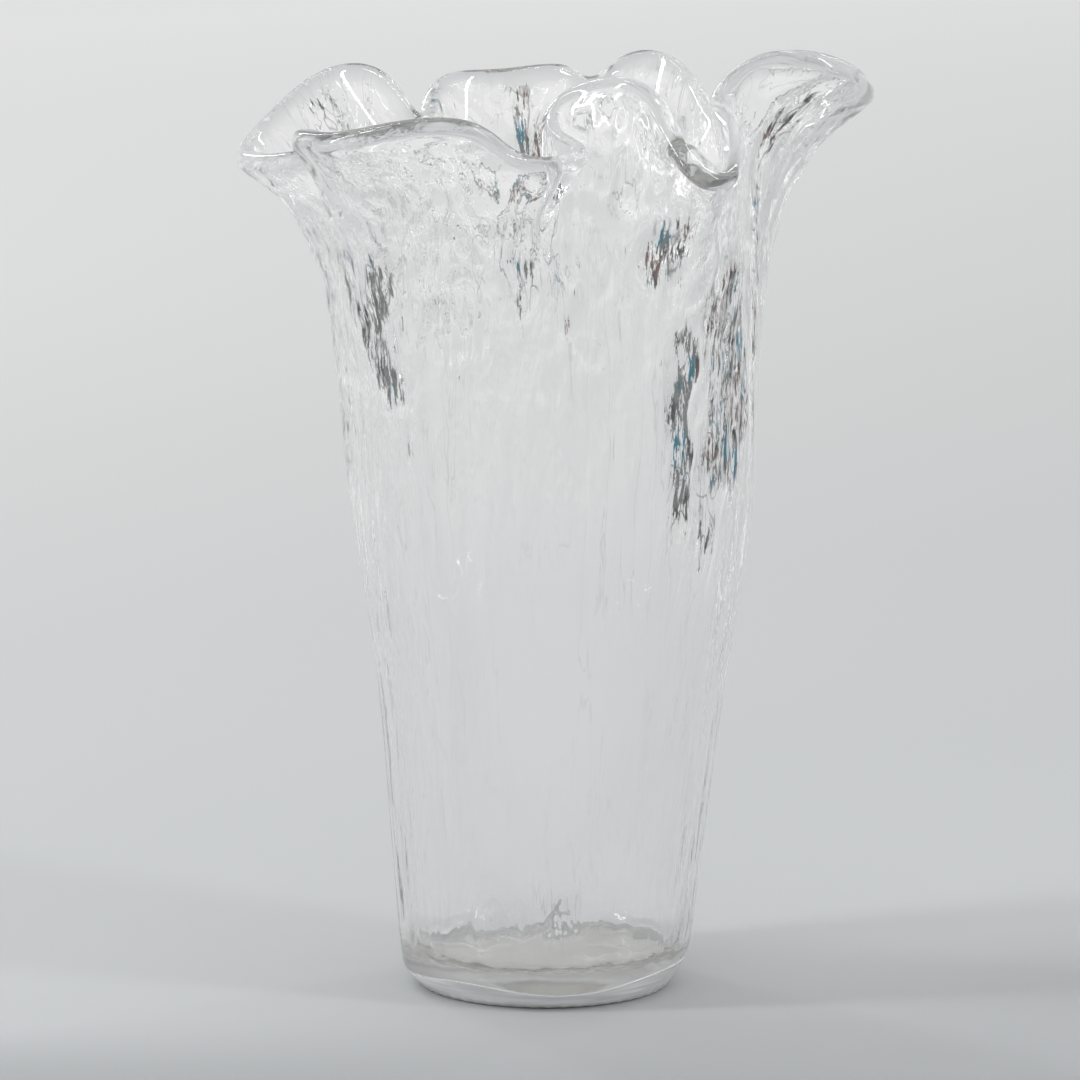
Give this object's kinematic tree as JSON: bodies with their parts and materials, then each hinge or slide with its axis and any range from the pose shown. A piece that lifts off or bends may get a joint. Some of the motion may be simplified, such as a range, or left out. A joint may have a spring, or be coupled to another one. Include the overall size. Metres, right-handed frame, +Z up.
{
  "type": "vase",
  "caption": "Tall clear glass vase with a tapering bark-textured body, a thick flat base and a freely ruffled, flared rim with a rounded lip.",
  "frame": {"origin": "middle of the flat underside", "axes": "+Z up the vase, from the underside to the rim; -Y the side that the picture shows; +X its right"},
  "size_m": [0.1956, 0.1669, 0.2935],
  "materials": {
    "clear_glass": "clear colourless glass, fire-polished on the lip and inside, with fine vertical bark-like relief outside"
  },
  "bodies": {
    "root": {"vase_body": "clear_glass"}
  },
  "joints": []
}
